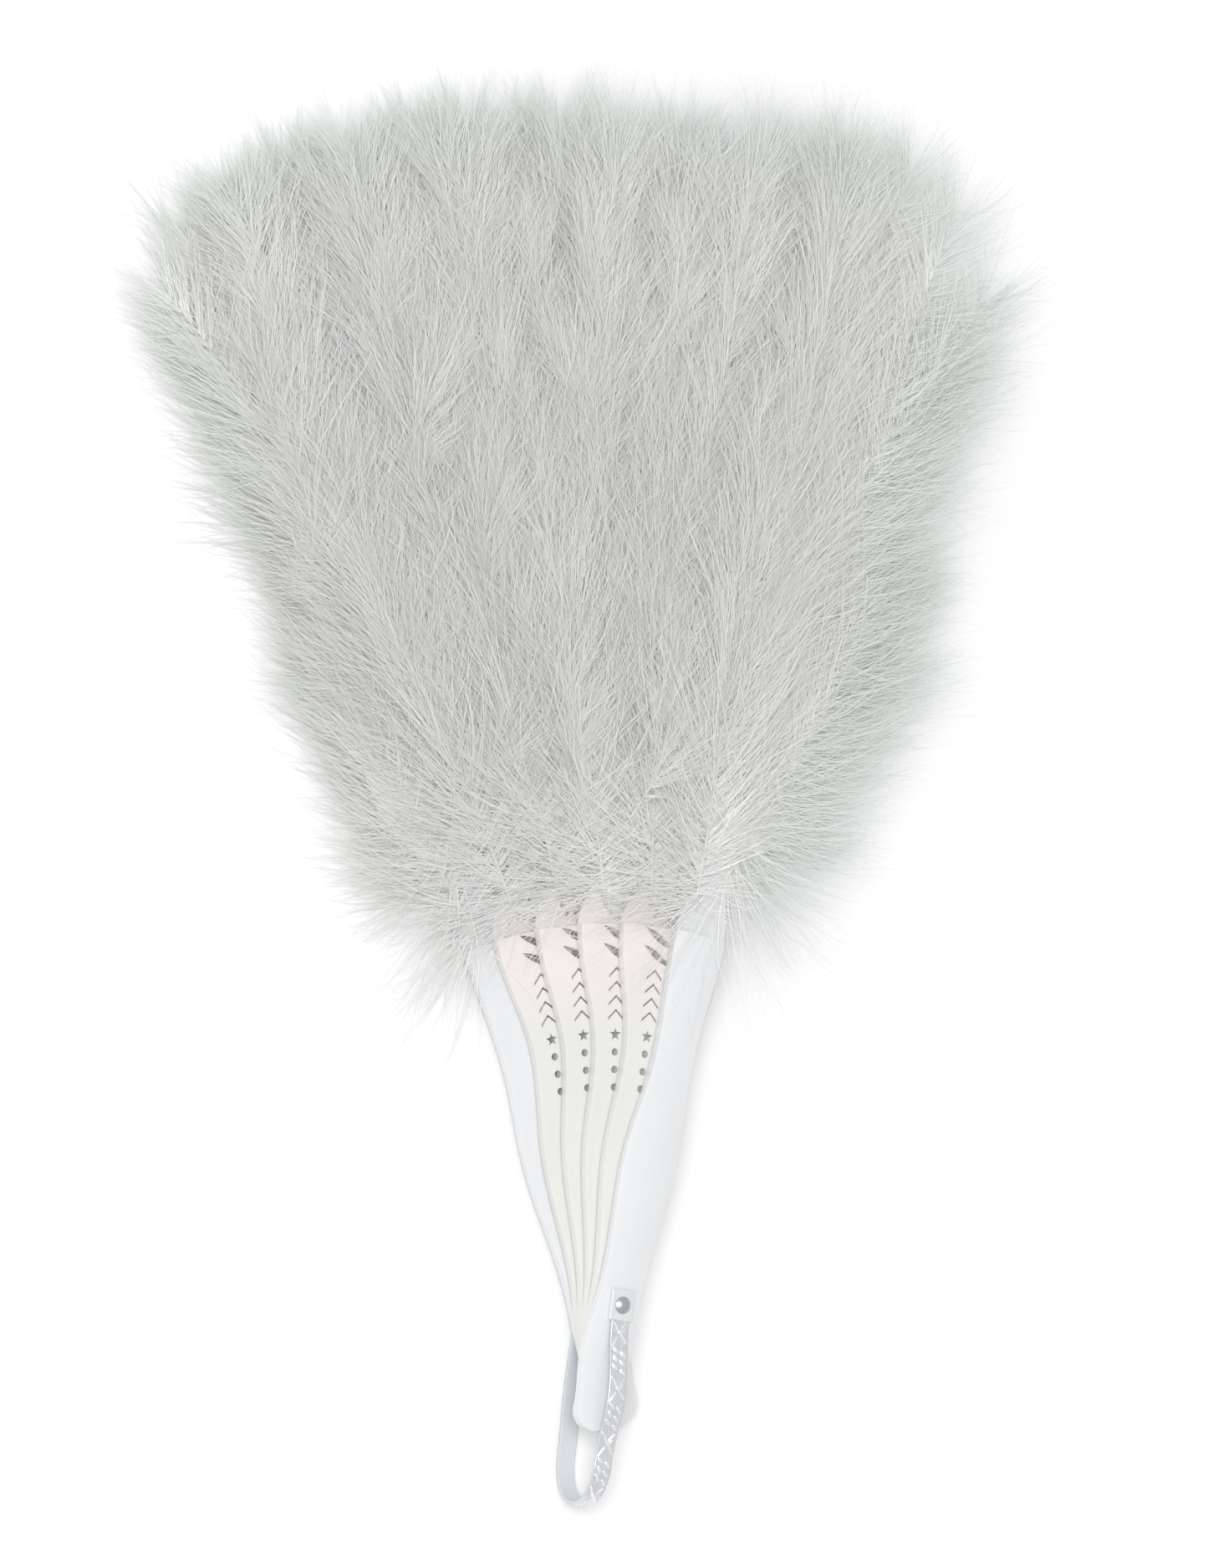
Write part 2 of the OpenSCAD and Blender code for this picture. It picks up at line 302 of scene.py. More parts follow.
def quill_line(base, heading, bend, rise, length, steps=24):
    """A quill in the stick's frame: it leaves base at heading, bends sideways, rises and falls."""
    s = np.linspace(0, 1, steps + 1)
    turn = heading + bend * s
    climb = rise * (1 - 1.7 * s)
    step = np.stack([np.sin(turn) * np.cos(climb), np.cos(turn) * np.cos(climb), np.sin(climb)], 1)
    middle = (step[1:] + step[:-1]) / 2 * length / steps
    return np.vstack([[0, 0, 0], np.cumsum(middle, 0)]) + base, unit(step)


def along(line, s):
    """Values of a polyline's rows at shares s of its length."""
    place = s * (len(line) - 1)
    low = np.minimum(place.astype(int), len(line) - 2)
    part = (place - low)[:, None]
    return line[low] * (1 - part) + line[low + 1] * part


def lay_barbs(rng, feather, side, down, bends=4):
    """The barbs on one side of a quill, as centre lines: an array of count x (bends + 1) x 3."""
    count = feather["barbs"]
    face = feather["face"]
    s = np.sort(rng.uniform(0.0, 1.0, count))
    lock = (s * count / down.lock + rng.uniform(0, 1)).astype(int)
    locks = lock.max() + 1
    root = along(feather["line"], s)
    forward = unit(along(feather["tangents"], s))
    sideways = unit(np.cross(forward, [0, 0, 1.0])) * side
    upward = unit(np.cross(sideways * side, forward))

    def per_lock(spread):
        return rng.normal(0, spread, locks)[lock]

    def jitter(degrees):
        return rng.normal(0, math.radians(degrees), count)

    fan_out = np.interp(s, [0, 0.07, 0.25, 0.6, 1], np.radians([feather["skirt"], 86, 62, 48, 38]))
    drift = np.sin(math.tau * (s * rng.uniform(1.5, 3.5) + rng.uniform(0, 1)))
    angle = fan_out * feather["flare"] + math.radians(9) * drift
    angle = angle + per_lock(math.radians(4)) + jitter(8)
    # some locks cross over the quill to the other side
    crossing = (rng.uniform(0, 1, locks) < 0.22)[lock]
    angle = np.where(crossing, -0.7 * angle, angle)
    sweep = np.interp(s, [0, 0.3, 1], np.radians([12, 30, 8])) * np.sign(angle)
    sweep = sweep + per_lock(math.radians(6)) + jitter(11)
    curl = per_lock(math.radians(9)) + jitter(14)
    lift = face * math.radians(feather["lift"]) + per_lock(math.radians(4)) + jitter(9)
    droop = face * math.radians(16) + per_lock(math.radians(4)) + jitter(9)
    length = feather["barb"] * np.interp(s, [0, 0.2, 0.6, 1], [feather["hem"], 0.95, 1.0, 0.62])
    length = length * (1 + per_lock(0.08)) * rng.uniform(0.6, 1.15, count)

    t = (np.arange(bends) + 0.5) / bends
    a = angle[:, None] - sweep[:, None] * t - curl[:, None] * t ** 2
    e = lift[:, None] - droop[:, None] * t
    heading = (
        np.cos(a)[..., None] * forward[:, None]
        + (np.sin(a) * np.cos(e))[..., None] * sideways[:, None]
        + np.sin(e)[..., None] * upward[:, None]
    )
    steps = unit(heading) * (length[:, None, None] / bends)
    centre = np.concatenate([np.zeros((count, 1, 3)), np.cumsum(steps, 1)], 1) + root[:, None]

    # the barbs of a lock draw together towards their tips
    share = np.linspace(0, 1, bends + 1)[None, :, None]
    members = np.maximum(np.bincount(lock, minlength=locks), 1)
    middle = np.stack([np.bincount(lock, centre[:, -1, axis], locks) / members for axis in range(3)], 1)
    cling = rng.uniform(0.0, down.cling, locks)[lock] * rng.uniform(0.5, 1, count)
    pull = (middle[lock] - centre[:, -1]) * cling[:, None]
    centre += pull[:, None] * share ** 1.4

    # each barb waves a little on its own
    for cycles in (4.0, 9.0):
        wave = rng.normal(0, 1, (count, 1, 3)) * 0.0030 / cycles
        phase = rng.uniform(0, math.tau, (count, 1, 1))
        centre += wave * share * np.sin(phase + share * cycles * rng.uniform(0.6, 1.4, (count, 1, 1)))
    return centre


def strips(rng, centre, width, edge):
    """Thin tapering strips along centre lines: points, quads and a uv pair for each point."""
    count, rings = centre.shape[:2]
    tangent = unit(np.gradient(centre, axis=1))
    facing = rng.normal(0, 0.45, (count, 1, 3)) + [0, 0, 1.0]
    across = unit(np.cross(tangent, facing))
    t = np.linspace(0, 1, rings)
    taper = (0.6 + 0.4 * np.minimum(1, t * 5)) * (1 - t) ** 0.45 + 0.05
    spread = rng.uniform(0.75, 1.25, (count, 1, 1, 1)) * width
    half = across[:, :, None] * (0.5 * spread * taper[None, :, None, None])
    points = np.concatenate([centre[:, :, None] - half, centre[:, :, None] + half], 2).reshape(-1, 3)
    ring = np.arange(count)[:, None] * rings * 2 + np.arange(rings - 1)[None] * 2
    ring = ring.ravel()
    quads = np.stack([ring, ring + 1, ring + 3, ring + 2], 1)
    u = np.clip(edge * 0.9 + rng.uniform(0.01, 0.08, count), 0.01, 0.98)
    uv = np.zeros((count, rings, 2, 2))
    uv[..., 0] = u[:, None, None] + np.array([0.0, 0.008])
    uv[..., 1] = np.clip(t, 0.01, 0.99)[None, :, None]
    return points, quads, uv.reshape(-1, 2)


def pressed(points):
    """Presses points softly between the surface that the fan lies on and a ceiling."""
    z = points[..., 2]
    soft = 2.5 * MM
    low, high = DOWN_LOW + soft, DOWN_HIGH - soft
    z = np.where(z < low, DOWN_LOW + soft * np.exp((z - low) / soft), z)
    z = np.where(z > high, DOWN_HIGH - soft * np.exp(-(z - high) / soft), z)
    points[..., 2] = z
    return points


# Splay in degrees of the long feathers on one side of a blade, from the lowest up
SPLAY = {
    "inner": (13, 8, 3, 5),
    "left edge": (16, 12, 3, 4, 0, 10),
    "right edge": (26, 21, 6, 14, 11, 9, 2),
}
# How far barbs stand off the quill, over the usual angle
FLARE = {"inner": 0.72, "left edge": 0.92, "right edge": 1.1}


def top_reach(place):
    """How far past the plume's end a stick's quills may reach."""
    return (5 if place["name"] == FRONT_GUARD else -4) * MM


def is_hidden(place, face):
    """Whether the feathers on this face lie on the stick below."""
    return face < 0 and place["order"] > 0


def edge_of(place, side):
    """Which edge of the fan a stick's side makes, if any."""
    if place["name"] == BACK_GUARD and side < 0:
        return "left edge"
    if place["name"] == FRONT_GUARD and side > 0:
        return "right edge"
    return "inner"


def long_feathers(rng, place, down):
    """The feathers that are glued along both faces of a blade, in the stick's frame."""
    plan = []
    first = place["start"] + 5 * MM
    last = place["start"] + 62 * MM
    for face in (-1, 1):
        bed = place["bed_high"] if face > 0 else place["bed_low"]
        for side in (-1, 1):
            edge = edge_of(place, side)
            outer = edge != "inner"
            count = len(SPLAY[edge])
            # a stick's right side lies under the next stick's left side
            share = 0.75 if side > 0 and not outer else 1.15
            share = share * (0.6 if is_hidden(place, face) else 1.0) * 4 / count
            for k, heading in enumerate(SPLAY[edge]):
                high = k / (count - 1)
                base_y = first + (last - first) * high + rng.normal(0, 2.5) * MM
                low_outer = outer and k < 2
                bend = -10 if low_outer else 9 if edge == "left edge" else 0
                length = down.quill_length * rng.uniform(0.96, 1.08) * (0.72 if low_outer else 1)
                length = min(length, place["end"] + top_reach(place) - base_y)
                plan.append({
                    "face": face,
                    "base": np.array([side * 2.8 * MM, base_y, bed + face * 0.4 * MM]),
                    "heading": side * math.radians(heading + rng.normal(0, 3.5)),
                    "bend": side * math.radians(bend + rng.normal(0, 5)),
                    "rise": face * math.radians(rng.uniform(3, 10)),
                    "length": length,
                    "barb": down.barb_length,
                    "skirt": 170 if low_outer else 200 if k == 0 else 125,
                    "hem": 1.15 if low_outer else 0.7,
                    "flare": FLARE[edge],
                    "lift": 12,
                    "barbs": int(down.barbs * share),
                })
            plan.append(crest_feather(rng, place, down, face, side, bed))
    return plan


def crest_feather(rng, place, down, face, side, bed):
    """A shorter feather that fills the top between two long ones."""
    length = 62 * MM
    return {
        "face": face,
        "base": np.array([side * 4 * MM, place["end"] - length, bed + face * 1.2 * MM]),
        "heading": side * math.radians(rng.uniform(4, 9)),
        "bend": side * math.radians(rng.normal(2, 4)),
        "rise": face * math.radians(rng.uniform(2, 6)),
        "length": length + top_reach(place) - rng.uniform(0, 5) * MM,
        "barb": down.barb_length * 0.85,
        "skirt": 80,
        "hem": 0.4,
        "flare": 1.0,
        "lift": 10,
        "barbs": int(down.barbs * (0.25 if is_hidden(place, face) else 0.45)),
    }


def tufts(rng, place, down):
    """Short feathers that stand out of the front, one above the other up the stick."""
    plan = []
    for k in range(down.tufts):
        high = (k + rng.uniform(0.1, 0.9)) / down.tufts
        side = rng.choice([-1, 1])
        plan.append({
            "face": 1,
            "base": np.array([
                rng.normal(-6, 7) * MM,
                place["start"] + (22 + 112 * high) * MM,
                place["bed_high"] + rng.uniform(2, 5) * MM]),
            "heading": side * math.radians(rng.uniform(0, 16)),
            "bend": side * math.radians(rng.uniform(-25, 25)),
            "rise": math.radians(rng.uniform(12, 22)),
            "length": rng.uniform(24, 40) * MM,
            "barb": down.barb_length * rng.uniform(0.45, 0.62),
            "skirt": 120,
            "hem": 0.5,
            "flare": 0.62,
            "lift": rng.uniform(5, 30),
            "barbs": int(down.barbs * 0.34),
        })
    return plan


def greenish(points, place):
    """How far out towards the fan's edge a barb's tip lies, from 0 to 1."""
    reach = np.hypot(points[:, 0], points[:, 1])
    turn = np.abs(np.arctan2(points[:, 0], points[:, 1]))
    side = np.clip((reach * (turn - math.radians(16)) - 20 * MM) / (24 * MM), 0, 1)
    side = side * np.where(points[:, 0] > 0, 1.0, 0.3)
    top = np.clip((reach - place["end"] + 5 * MM) / (26 * MM), 0, 1)
    return np.maximum(side, top)


def grow_feathers(place, down):
    """All of one stick's feathers: the barbs' centre lines and the quills, in the row frame."""
    rng = np.random.default_rng(1907 + place["order"])
    barbs, quills = {-1: [], 1: []}, []
    for feather in long_feathers(rng, place, down) + tufts(rng, place, down):
        feather["line"], feather["tangents"] = quill_line(
            feather["base"], feather["heading"], feather["bend"], feather["rise"], feather["length"])
        for side in (-1, 1):
            barbs[feather["face"]].append(lay_barbs(rng, feather, side, down))
        quills.append(feather["line"])
    out = {}
    for face, group in barbs.items():
        centre = pressed(to_row(np.concatenate(group), place["turn"]))
        out[face] = strips(rng, centre, down.barb_width, greenish(centre[:, -1], place))
    return out, [pressed(to_row(q, place["turn"])) for q in quills]


def quill_tubes(lines, sides=8, root=0.45 * MM, tip=0.07 * MM):
    """Tapering tubes along quills, closed at both ends: points and triangles."""
    points, faces, first = [], [], 0
    for line in lines:
        rings = len(line)
        tangent = unit(np.gradient(line, axis=0))
        across = unit(np.cross(tangent, [0, 0, 1.0]))
        up = np.cross(across, tangent)
        turn = np.arange(sides) * math.tau / sides
        circle = np.cos(turn)[None, :, None] * across[:, None] + np.sin(turn)[None, :, None] * up[:, None]
        radius = np.linspace(root, tip, rings)[:, None, None]
        points.append((line[:, None] + circle * radius).reshape(-1, 3))
        points.append(line[[0, -1]])
        a, b, c, d = (first + ring_quads(rings, sides)).T
        faces += [np.stack([a, b, c], 1), np.stack([a, c, d], 1)]
        root_point = first + rings * sides
        tip_point = root_point + 1
        j = np.arange(sides)
        n = (j + 1) % sides
        faces.append(np.stack([np.full(sides, root_point), first + n, first + j], 1))
        last_ring = first + (rings - 1) * sides
        faces.append(np.stack([np.full(sides, tip_point), last_ring + j, last_ring + n], 1))
        first += rings * sides + 2
    return np.vstack(points), np.vstack(faces)


def down_core(place, down, rings=40, sides=36):
    """The matted heart of a plume, under its barbs: a lump round the blade."""
    rng = np.random.default_rng(77 + place["order"])
    outer = {-1: place["order"] == 0, 1: place["name"] == FRONT_GUARD}
    s = np.linspace(0, 1, rings)
    y = place["start"] + 16 * MM + s * (place["end"] - place["start"] - 52 * MM)
    body = np.sqrt(1.0001 - np.abs(2 * s - 1) ** 6)
    a = np.arange(sides) / sides * math.tau
    cos, sin = np.cos(a), np.sin(a)
    x_half = np.where(cos[None] < 0, 15 + 3 * outer[-1], 15 + 3 * outer[1]) * MM * body[:, None]
    z_half = np.where(sin[None] < 0, 2.0, 3.0) * MM * body[:, None]
    lump = 1 + 0.10 * rng.normal(0, 1, (rings, sides))
    lump = (lump + np.roll(lump, 1, 0) + np.roll(lump, 1, 1) + np.roll(lump, -1, 0)) / 4
    mid = (place["bed_low"] + place["bed_high"]) / 2
    points = np.stack([
        x_half * np.sign(cos) * np.abs(cos) ** 0.8 * lump,
        np.broadcast_to(y[:, None], (rings, sides)),
        mid + z_half * np.sign(sin) * np.abs(sin) ** 0.8 * lump], 2)
    return pressed(to_row(points.reshape(-1, 3), place["turn"])), ring_quads(rings, sides)


# ---------------------------------------------------------------- materials

def new_material(name):
    """A material with its shader, and short ways to add and join nodes."""
    material = bpy.data.materials.new(name)
    material.use_nodes = True
    tree = material.node_tree
    shader = tree.nodes["Principled BSDF"]

    def add(kind, **values):
        node = tree.nodes.new(kind)
        for key, value in values.items():
            if key in node.inputs:
                node.inputs[key].default_value = value
            else:
                setattr(node, key, value)
        return node

    return material, shader, add, tree.links.new


def rgba(color):
    return (*color[:3], 1.0)


def blend_colors(add, link, factor, first, second):
    """A mix of two colours, each a socket or a plain colour."""
    mix = add("ShaderNodeMix", data_type="RGBA")
    link(factor, mix.inputs["Factor"])
    for socket, value in ((mix.inputs[6], first), (mix.inputs[7], second)):
        if isinstance(value, bpy.types.NodeSocket):
            link(value, socket)
        else:
            socket.default_value = rgba(value)
    return mix.outputs[2]


def multiplied(add, link, color, shade):
    """A colour, socket or plain, darkened by a grey socket."""
    tone = add("ShaderNodeMix", data_type="RGBA", blend_type="MULTIPLY")
    tone.inputs["Factor"].default_value = 1.0
    if isinstance(color, bpy.types.NodeSocket):
        link(color, tone.inputs[6])
    else:
        tone.inputs[6].default_value = rgba(color)
    link(shade, tone.inputs[7])
    return tone.outputs[2]


def ramp(add, link, source, stops):
    """A colour ramp with (place, grey level) stops, read from a socket."""
    node = add("ShaderNodeValToRGB")
    elements = node.color_ramp.elements
    while len(elements) < len(stops):
        elements.new(0.5)
    for element, (position, level) in zip(elements, stops):
        element.position = position
        element.color = (level, level, level, 1)
    link(source, node.inputs["Fac"])
    return node.outputs["Color"]


def down_material():
    """Marabou: greyer towards each barb's tip, the paler roots being painted light that lifts the shade
    deep in the down; grey-green at the fan's edges, uneven between barbs.
    """
    down = settings().down
    material, shader, add, link = new_material("marabou_down")
    uv = add("ShaderNodeUVMap", uv_map="OFBake")
    split = add("ShaderNodeSeparateXYZ")
    link(uv.outputs["UV"], split.inputs["Vector"])
    # painted light: barbs paler at the root, where the down lies deepest in shade, and greyer towards the
    # tip
    root_light_to_tip = ramp(add, link, split.outputs["Y"], [(0.0, 0.0), (0.6, 1.0)])
    body = blend_colors(add, link, root_light_to_tip, down.root_color, down.tip_color)
    to_edge = ramp(add, link, split.outputs["X"], [(0.08, 0.0), (0.9, 1.0)])
    body = blend_colors(add, link, to_edge, body, down.edge_color)
    barb = add("ShaderNodeTexNoise", noise_dimensions="1D", Scale=400.0, Detail=1.0)
    link(split.outputs["X"], barb.inputs["W"])
    shade = ramp(add, link, barb.outputs["Fac"], [(0.3, 0.97), (0.7, 1.0)])
    link(multiplied(add, link, body, shade), shader.inputs["Base Color"])
    shader.inputs["Roughness"].default_value = 0.8
    shader.inputs["Sheen Weight"].default_value = 0.3
    shader.inputs["Sheen Roughness"].default_value = 0.5
    shader.inputs["Specular IOR Level"].default_value = 0.25
    return material


def heart_material():
    """Matted down round a blade: the barbs' colour, with fine felted unevenness."""
    down = settings().down
    material, shader, add, link = new_material("matted_down")
    place = add("ShaderNodeTexCoord")
    felt = add("ShaderNodeTexNoise", Scale=500.0, Detail=5.0)
    link(place.outputs["Object"], felt.inputs["Vector"])
    tint = blend_colors(add, link, felt.outputs["Fac"], down.root_color, down.tip_color)
    link(tint, shader.inputs["Base Color"])
    bump = add("ShaderNodeBump", Strength=0.6, Distance=0.0008)
    link(felt.outputs["Fac"], bump.inputs["Height"])
    link(bump.outputs["Normal"], shader.inputs["Normal"])
    shader.inputs["Roughness"].default_value = 0.9
    return material


def quill_material():
    """Horn of the shafts: glossy, with fine streaks along them."""
    material, shader, add, link = new_material("quill_horn")
    streaks = add("ShaderNodeTexNoise", Scale=900.0, Detail=3.0)
    place = add("ShaderNodeTexCoord")
    link(place.outputs["Object"], streaks.inputs["Vector"])
    tint = blend_colors(add, link, streaks.outputs["Fac"], (0.66, 0.65, 0.60), (0.74, 0.73, 0.69))
    link(tint, shader.inputs["Base Color"])
    shader.inputs["Roughness"].default_value = 0.35
    return material


def moulded_material(name, body_color, tinted):
    """Translucent white moulded plastic; the tints follow the distance from the rivet."""
    sticks = settings().sticks
    material, shader, add, link = new_material(name)
    place = add("ShaderNodeTexCoord")
    reach = add("ShaderNodeVectorMath", operation="LENGTH")
    flat = add("ShaderNodeVectorMath", operation="MULTIPLY")
    flat.inputs[1].default_value = (1, 1, 0)
    link(place.outputs["Object"], flat.inputs[0])
    link(flat.outputs["Vector"], reach.inputs[0])
    share = add("ShaderNodeMapRange")
    share.inputs["From Max"].default_value = 0.1
    link(reach.outputs["Value"], share.inputs["Value"])
    color = body_color
    if tinted:
        cream = ramp(add, link, share.outputs["Result"], [(0.0, 0.5), (0.35, 1.0), (0.6, 0.25), (0.7, 0.0)])
        blush = ramp(add, link, share.outputs["Result"], [(0.62, 0.0), (0.82, 0.9), (1.0, 1.0)])
        color = blend_colors(add, link, cream, color, sticks.cream_color)
        color = blend_colors(add, link, blush, color, sticks.blush_color)
    cloud = add("ShaderNodeTexNoise", Scale=55.0, Detail=4.0)
    link(place.outputs["Object"], cloud.inputs["Vector"])
    shade = ramp(add, link, cloud.outputs["Fac"], [(0.3, 0.98), (0.7, 1.0)])
    link(multiplied(add, link, color, shade), shader.inputs["Base Color"])
    gloss = add("ShaderNodeMapRange")
    gloss.inputs["To Min"].default_value = sticks.roughness - 0.06
    gloss.inputs["To Max"].default_value = sticks.roughness + 0.08
    link(cloud.outputs["Fac"], gloss.inputs["Value"])
    link(gloss.outputs["Result"], shader.inputs["Roughness"])
    grain = add("ShaderNodeTexNoise", Scale=1400.0, Detail=2.0)
    link(place.outputs["Object"], grain.inputs["Vector"])
    bump = add("ShaderNodeBump", Strength=0.08, Distance=0.0002)
    link(grain.outputs["Fac"], bump.inputs["Height"])
    link(bump.outputs["Normal"], shader.inputs["Normal"])
    shader.inputs["Subsurface Weight"].default_value = 0.25
    shader.inputs["Subsurface Radius"].default_value = (1.0, 1.0, 1.0)
    shader.inputs["Subsurface Scale"].default_value = 0.0015
    return material


def metal_material(name, color, low, high, scale, metallic=1.0):
    """Metal whose roughness wanders between two values."""
    material, shader, add, link = new_material(name)
    place = add("ShaderNodeTexCoord")
    cloud = add("ShaderNodeTexNoise", Scale=scale, Detail=4.0)
    link(place.outputs["Object"], cloud.inputs["Vector"])
    gloss = add("ShaderNodeMapRange")
    gloss.inputs["To Min"].default_value = low
    gloss.inputs["To Max"].default_value = high
    link(cloud.outputs["Fac"], gloss.inputs["Value"])
    link(gloss.outputs["Result"], shader.inputs["Roughness"])
    darker = [c * 0.88 for c in color]
    tint = blend_colors(add, link, cloud.outputs["Fac"], darker, color)
    link(tint, shader.inputs["Base Color"])
    shader.inputs["Metallic"].default_value = metallic
    return material


def band_material():
    """Metallised film on the embossed band: painted shade darkens the hollows in place of dark reflections
    there, bright on the ornament.
    """
    loop = settings().loop
    material, shader, add, link = new_material("silvered_band")
    uv = add("ShaderNodeUVMap", uv_map="OFBake")
    split = add("ShaderNodeSeparateXYZ")
    link(uv.outputs["UV"], split.inputs["Vector"])
    # painted shade: darker colour in the hollows, bright where the ornament stands highest
    height = ramp(add, link, split.outputs["X"], [(0.05, 0.0), (0.75, 1.0)])
    tint = blend_colors(add, link, height, loop.hollow_shade_color, loop.silver_color)
    place = add("ShaderNodeTexCoord")
    cloud = add("ShaderNodeTexNoise", Scale=900.0, Detail=3.0)
    link(place.outputs["Object"], cloud.inputs["Vector"])
    shade = ramp(add, link, cloud.outputs["Fac"], [(0.3, 0.88), (0.65, 1.0)])
    link(multiplied(add, link, tint, shade), shader.inputs["Base Color"])
    gloss = add("ShaderNodeMapRange")
    gloss.inputs["To Min"].default_value = 0.14
    gloss.inputs["To Max"].default_value = 0.3
    link(cloud.outputs["Fac"], gloss.inputs["Value"])
    link(gloss.outputs["Result"], shader.inputs["Roughness"])
    shader.inputs["Metallic"].default_value = 0.6
    return material


def lining_material():
    """The loop's plain inner face: smooth, faintly clouded plastic."""
    loop = settings().loop
    material, shader, add, link = new_material("loop_lining")
    place = add("ShaderNodeTexCoord")
    cloud = add("ShaderNodeTexNoise", Scale=260.0, Detail=3.0)
    link(place.outputs["Object"], cloud.inputs["Vector"])
    darker = [c * 0.93 for c in loop.lining_color]
    tint = blend_colors(add, link, cloud.outputs["Fac"], darker, loop.lining_color)
    link(tint, shader.inputs["Base Color"])
    shader.inputs["Roughness"].default_value = 0.3
    return material


def ribbon_material():
    """Plain woven ribbon."""
    material, shader, add, link = new_material("ribbon_weave")
    place = add("ShaderNodeTexCoord")
    weave = add("ShaderNodeTexWave", Scale=900.0, Distortion=0.4)
    link(place.outputs["Object"], weave.inputs["Vector"])
    tint = blend_colors(add, link, weave.outputs["Fac"], (0.72, 0.71, 0.69), (0.84, 0.83, 0.81))
    link(tint, shader.inputs["Base Color"])
    bump = add("ShaderNodeBump", Strength=0.4, Distance=0.0001)
    link(weave.outputs["Fac"], bump.inputs["Height"])
    link(bump.outputs["Normal"], shader.inputs["Normal"])
    shader.inputs["Roughness"].default_value = 0.7
    return material


def set_material(node, material):
    node.data.materials.clear()
    node.data.materials.append(material)


# ---------------------------------------------------------------- wrist loop

# One repeat of the embossed ornament, in shares of its length and of the strap's half width:
# ribs and leaves as (start along, start across, end along, end across, half width, height)
ORNAMENT = (
    (0.02, -0.80, 0.40, 0.85, 0.20, 1.0),
    (0.03, 0.72, 0.22, -0.10, 0.15, 0.9),
    (0.28, -0.15, 0.46, -0.78, 0.16, 0.9),
    (0.13, 0.62, 0.24, 0.20, 0.13, 0.8),
    (0.50, -0.60, 0.57, -0.15, 0.26, 1.0),
    (0.56, 0.30, 0.64, 0.70, 0.26, 1.0),
    (0.64, -0.55, 0.73, -0.30, 0.28, 1.0),
    (0.72, 0.20, 0.80, 0.62, 0.24, 0.9),
    (0.79, -0.70, 0.88, -0.20, 0.26, 1.0),
    (0.88, 0.25, 0.96, 0.70, 0.24, 1.0),
)


def strap_line(loop, steps=840):
    """Middle line of the strap from the front tab to the back tab, evenly spaced, as (y, z)."""
    front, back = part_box("loop_tab_front"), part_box("loop_tab_back")
    front_z = (front[0].z + front[1].z) / 2
    back_z = (back[0].z + back[1].z) / 2
    leg_end = STRAP_REACH + STRAP_THICK / 2 + loop.round_length
    mid, rise = (front_z + back_z) / 2, (front_z - back_z) / 2
    s = np.linspace(0, 1, 200)
    leg_y = STRAP_START + (leg_end - STRAP_START) * s
    bow = (1 - np.cos(math.tau * s)) / 2
    a = np.linspace(0, math.pi, 200)
    path = np.vstack([
        np.stack([leg_y, front_z + loop.front_bow * bow], 1)[:-1],
        np.stack([leg_end - loop.round_length * np.sin(a), mid + rise * np.cos(a)], 1),
        np.stack([leg_y, back_z - loop.back_bow * bow], 1)[::-1][1:],
    ])
    gone = np.concatenate([[0], np.cumsum(np.linalg.norm(np.diff(path, axis=0), axis=1))])
    even = np.linspace(0, gone[-1], steps)
    line = np.stack([np.interp(even, gone, path[:, 0]), np.interp(even, gone, path[:, 1])], 1)
    return line, even


def loop_lean():
    """The angle at which the loop hangs, from the strap's lowest corners."""
    corners = np.array([v.co for v in frame["nodes"]["loop_strap"].data.vertices])
    low = corners[corners[:, 1] < corners[:, 1].min() + 1.2 * MM]
    return math.atan2(-low[:, 0].mean(), -low[:, 1].mean())


def ornament(along_share, across):
    """Height of the embossing, from 0 to 1, on a grid of shares along and across."""
    height = np.zeros(np.broadcast(along_share, across).shape)
    stretch = 5.8
    for shift in (-1, 0, 1):
        for a0, c0, a1, c1, half, top in ORNAMENT:
            a0, a1 = (a0 + shift) * stretch, (a1 + shift) * stretch
            d = np.array([a1 - a0, c1 - c0])
            p, q = along_share * stretch - a0, across - c0
            t = np.clip((p * d[0] + q * d[1]) / (d @ d), 0, 1)
            gap = np.hypot(p - t * d[0], q - t * d[1]) / (half * (1 - 0.45 * np.abs(2 * t - 1)))
            height = np.maximum(height, top * np.clip(1 - gap ** 2, 0, 1) ** 0.8)
    return height


